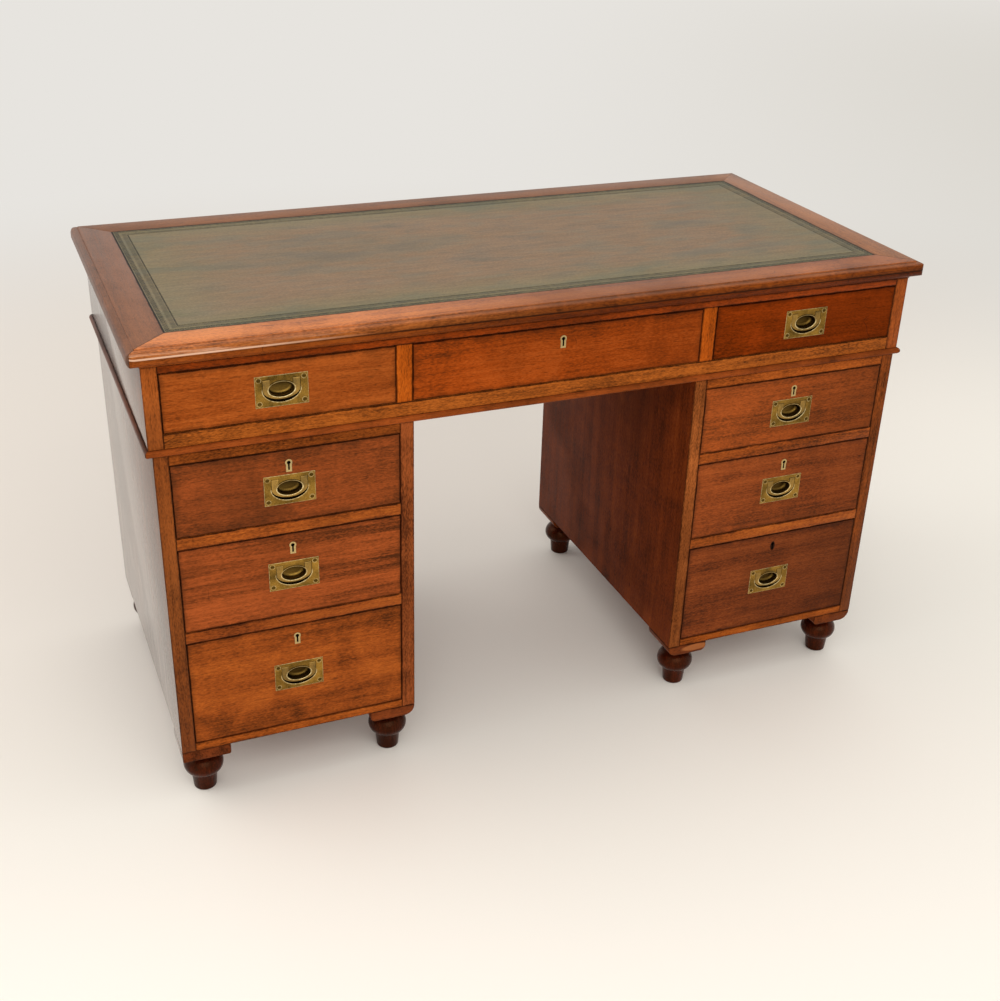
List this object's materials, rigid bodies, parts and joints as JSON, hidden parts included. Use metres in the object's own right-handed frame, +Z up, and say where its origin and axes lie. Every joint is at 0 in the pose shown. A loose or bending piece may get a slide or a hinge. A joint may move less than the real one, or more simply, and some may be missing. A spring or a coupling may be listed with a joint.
{
  "type": "campaign desk",
  "caption": "Twin pedestal campaign desk: lift-off leather-topped section with shallow drawers on two drawer pedestals, flush brass handles, turned feet.",
  "frame": {"origin": "on the floor under the middle of the desk", "axes": "+X to the right along the width for someone facing the drawers, +Y from the drawer fronts to the back, +Z up"},
  "size_m": [1.27, 0.604, 0.763],
  "materials": {
    "case_wood": "polished",
    "front_wood": "polished",
    "top_wood": "polished",
    "foot_wood": "polished",
    "lining_wood": "bare",
    "leather": "worn",
    "brass": "aged"
  },
  "bodies": {
    "pedestals": {"left_pedestal_panels": "case_wood", "left_pedestal_rails": "case_wood", "right_pedestal_panels": "case_wood", "right_pedestal_rails": "case_wood", "foot_blocks": "foot_wood", "turned_feet": "foot_wood"},
    "top_section": {"top_border": "top_wood", "top_panel": "lining_wood", "writing_leather": "leather", "top_case_panels": "case_wood", "top_case_rails": "case_wood", "waist_moulding": "case_wood"},
    "left_top_drawer": {"left_top_drawer_front": "front_wood", "left_top_drawer_box": "lining_wood", "left_top_handle_plate": "brass", "left_top_lock": "brass"},
    "left_top_handle": {"left_top_handle_ring": "brass"},
    "left_top_bolt": {"left_top_lock_bolt": "brass"},
    "left_middle_drawer": {"left_middle_drawer_front": "front_wood", "left_middle_drawer_box": "lining_wood", "left_middle_handle_plate": "brass", "left_middle_lock": "brass"},
    "left_middle_handle": {"left_middle_handle_ring": "brass"},
    "left_middle_bolt": {"left_middle_lock_bolt": "brass"},
    "left_bottom_drawer": {"left_bottom_drawer_front": "front_wood", "left_bottom_drawer_box": "lining_wood", "left_bottom_handle_plate": "brass", "left_bottom_lock": "brass"},
    "left_bottom_handle": {"left_bottom_handle_ring": "brass"},
    "left_bottom_bolt": {"left_bottom_lock_bolt": "brass"},
    "upper_left_drawer": {"upper_left_drawer_front": "front_wood", "upper_left_drawer_box": "lining_wood", "upper_left_handle_plate": "brass"},
    "upper_left_handle": {"upper_left_handle_ring": "brass"},
    "right_top_drawer": {"right_top_drawer_front": "front_wood", "right_top_drawer_box": "lining_wood", "right_top_handle_plate": "brass", "right_top_lock": "brass"},
    "right_top_handle": {"right_top_handle_ring": "brass"},
    "right_top_bolt": {"right_top_lock_bolt": "brass"},
    "right_middle_drawer": {"right_middle_drawer_front": "front_wood", "right_middle_drawer_box": "lining_wood", "right_middle_handle_plate": "brass", "right_middle_lock": "brass"},
    "right_middle_handle": {"right_middle_handle_ring": "brass"},
    "right_middle_bolt": {"right_middle_lock_bolt": "brass"},
    "right_bottom_drawer": {"right_bottom_drawer_front": "front_wood", "right_bottom_drawer_box": "lining_wood", "right_bottom_handle_plate": "brass", "right_bottom_lock": "brass"},
    "right_bottom_handle": {"right_bottom_handle_ring": "brass"},
    "right_bottom_bolt": {"right_bottom_lock_bolt": "brass"},
    "upper_right_drawer": {"upper_right_drawer_front": "front_wood", "upper_right_drawer_box": "lining_wood", "upper_right_handle_plate": "brass"},
    "upper_right_handle": {"upper_right_handle_ring": "brass"},
    "centre_drawer": {"centre_drawer_front": "front_wood", "centre_drawer_box": "lining_wood", "centre_lock": "brass"},
    "centre_bolt": {"centre_lock_bolt": "brass"}
  },
  "joints": [
    {"name": "top_section_lift", "type": "slide", "parent": "pedestals", "child": "top_section", "axis": [0, 0, 1], "range_m": [0, 0.1]},
    {"name": "left_top_drawer_slide", "type": "slide", "parent": "pedestals", "child": "left_top_drawer", "axis": [0, -1, 0], "range_m": [0, 0.38]},
    {"name": "left_top_handle_swing", "type": "hinge", "parent": "left_top_drawer", "child": "left_top_handle", "pos_m": [-0.4235, -0.2819, 0.5374], "axis": [-1, 0, 0], "range_deg": [0, 95]},
    {"name": "left_top_bolt_throw", "type": "slide", "parent": "left_top_drawer", "child": "left_top_bolt", "axis": [0, 0, 1], "range_m": [0, 0.007]},
    {"name": "left_middle_drawer_slide", "type": "slide", "parent": "pedestals", "child": "left_middle_drawer", "axis": [0, -1, 0], "range_m": [0, 0.38]},
    {"name": "left_middle_handle_swing", "type": "hinge", "parent": "left_middle_drawer", "child": "left_middle_handle", "pos_m": [-0.4235, -0.2819, 0.3944], "axis": [-1, 0, 0], "range_deg": [0, 95]},
    {"name": "left_middle_bolt_throw", "type": "slide", "parent": "left_middle_drawer", "child": "left_middle_bolt", "axis": [0, 0, 1], "range_m": [0, 0.007]},
    {"name": "left_bottom_drawer_slide", "type": "slide", "parent": "pedestals", "child": "left_bottom_drawer", "axis": [0, -1, 0], "range_m": [0, 0.38]},
    {"name": "left_bottom_handle_swing", "type": "hinge", "parent": "left_bottom_drawer", "child": "left_bottom_handle", "pos_m": [-0.4235, -0.2819, 0.2144], "axis": [-1, 0, 0], "range_deg": [0, 95]},
    {"name": "left_bottom_bolt_throw", "type": "slide", "parent": "left_bottom_drawer", "child": "left_bottom_bolt", "axis": [0, 0, 1], "range_m": [0, 0.007]},
    {"name": "upper_left_drawer_slide", "type": "slide", "parent": "top_section", "child": "upper_left_drawer", "axis": [0, -1, 0], "range_m": [0, 0.38]},
    {"name": "upper_left_handle_swing", "type": "hinge", "parent": "upper_left_drawer", "child": "upper_left_handle", "pos_m": [-0.428, -0.2819, 0.6919], "axis": [-1, 0, 0], "range_deg": [0, 95]},
    {"name": "right_top_drawer_slide", "type": "slide", "parent": "pedestals", "child": "right_top_drawer", "axis": [0, -1, 0], "range_m": [0, 0.38]},
    {"name": "right_top_handle_swing", "type": "hinge", "parent": "right_top_drawer", "child": "right_top_handle", "pos_m": [0.4235, -0.2819, 0.5374], "axis": [-1, 0, 0], "range_deg": [0, 95]},
    {"name": "right_top_bolt_throw", "type": "slide", "parent": "right_top_drawer", "child": "right_top_bolt", "axis": [0, 0, 1], "range_m": [0, 0.007]},
    {"name": "right_middle_drawer_slide", "type": "slide", "parent": "pedestals", "child": "right_middle_drawer", "axis": [0, -1, 0], "range_m": [0, 0.38]},
    {"name": "right_middle_handle_swing", "type": "hinge", "parent": "right_middle_drawer", "child": "right_middle_handle", "pos_m": [0.4235, -0.2819, 0.3944], "axis": [-1, 0, 0], "range_deg": [0, 95]},
    {"name": "right_middle_bolt_throw", "type": "slide", "parent": "right_middle_drawer", "child": "right_middle_bolt", "axis": [0, 0, 1], "range_m": [0, 0.007]},
    {"name": "right_bottom_drawer_slide", "type": "slide", "parent": "pedestals", "child": "right_bottom_drawer", "axis": [0, -1, 0], "range_m": [0, 0.38]},
    {"name": "right_bottom_handle_swing", "type": "hinge", "parent": "right_bottom_drawer", "child": "right_bottom_handle", "pos_m": [0.4235, -0.2819, 0.2144], "axis": [-1, 0, 0], "range_deg": [0, 95]},
    {"name": "right_bottom_bolt_throw", "type": "slide", "parent": "right_bottom_drawer", "child": "right_bottom_bolt", "axis": [0, 0, 1], "range_m": [0, 0.007]},
    {"name": "upper_right_drawer_slide", "type": "slide", "parent": "top_section", "child": "upper_right_drawer", "axis": [0, -1, 0], "range_m": [0, 0.38]},
    {"name": "upper_right_handle_swing", "type": "hinge", "parent": "upper_right_drawer", "child": "upper_right_handle", "pos_m": [0.428, -0.2819, 0.6919], "axis": [-1, 0, 0], "range_deg": [0, 95]},
    {"name": "centre_drawer_slide", "type": "slide", "parent": "top_section", "child": "centre_drawer", "axis": [0, -1, 0], "range_m": [0, 0.38]},
    {"name": "centre_bolt_throw", "type": "slide", "parent": "centre_drawer", "child": "centre_bolt", "axis": [0, 0, 1], "range_m": [0, 0.007]}
  ]
}
